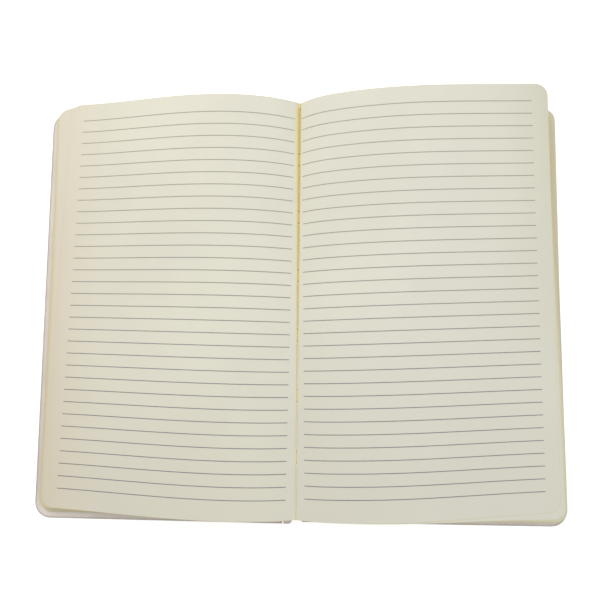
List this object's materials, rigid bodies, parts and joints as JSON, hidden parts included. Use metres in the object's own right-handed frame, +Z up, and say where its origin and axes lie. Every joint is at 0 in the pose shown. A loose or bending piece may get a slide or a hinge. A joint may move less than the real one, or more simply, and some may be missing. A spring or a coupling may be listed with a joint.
{
  "type": "open notebook",
  "caption": "Soft-cover notebook lying open, its sewn leaves arched on each side of the gutter, with ruled pages, rounded corners and covers hinged at the spine.",
  "frame": {"origin": "on the table, in the middle of the opened covers", "axes": "+X across the opening from the front half to the back half, +Y along the gutter towards the head of the pages, +Z up out of the pages"},
  "size_m": [0.2679, 0.2197, 0.0211],
  "materials": {
    "leaves": "matt cream writing paper",
    "cover_board": "matt light grey board",
    "endpaper": "matt cream paper",
    "thread": "waxed thread",
    "rules": "grey-violet printed rule"
  },
  "bodies": {
    "leaves": {"page_block": "leaves", "spine": "cover_board", "sewing_thread": "thread", "front_page_ruling": "rules", "back_page_ruling": "rules"},
    "front": {"front_cover": "cover_board", "front_endpaper": "endpaper"},
    "back": {"back_cover": "cover_board", "back_endpaper": "endpaper"}
  },
  "joints": [
    {"name": "front_cover_hinge", "type": "hinge", "parent": "leaves", "child": "front", "pos_m": [-0.0069, 0, 0.00045], "axis": [0, -1, 0], "range_deg": [0, 90]},
    {"name": "back_cover_hinge", "type": "hinge", "parent": "leaves", "child": "back", "pos_m": [0.0033, -0.1088, 0.00045], "axis": [-0.007, 1, 0], "range_deg": [0, 90]}
  ]
}
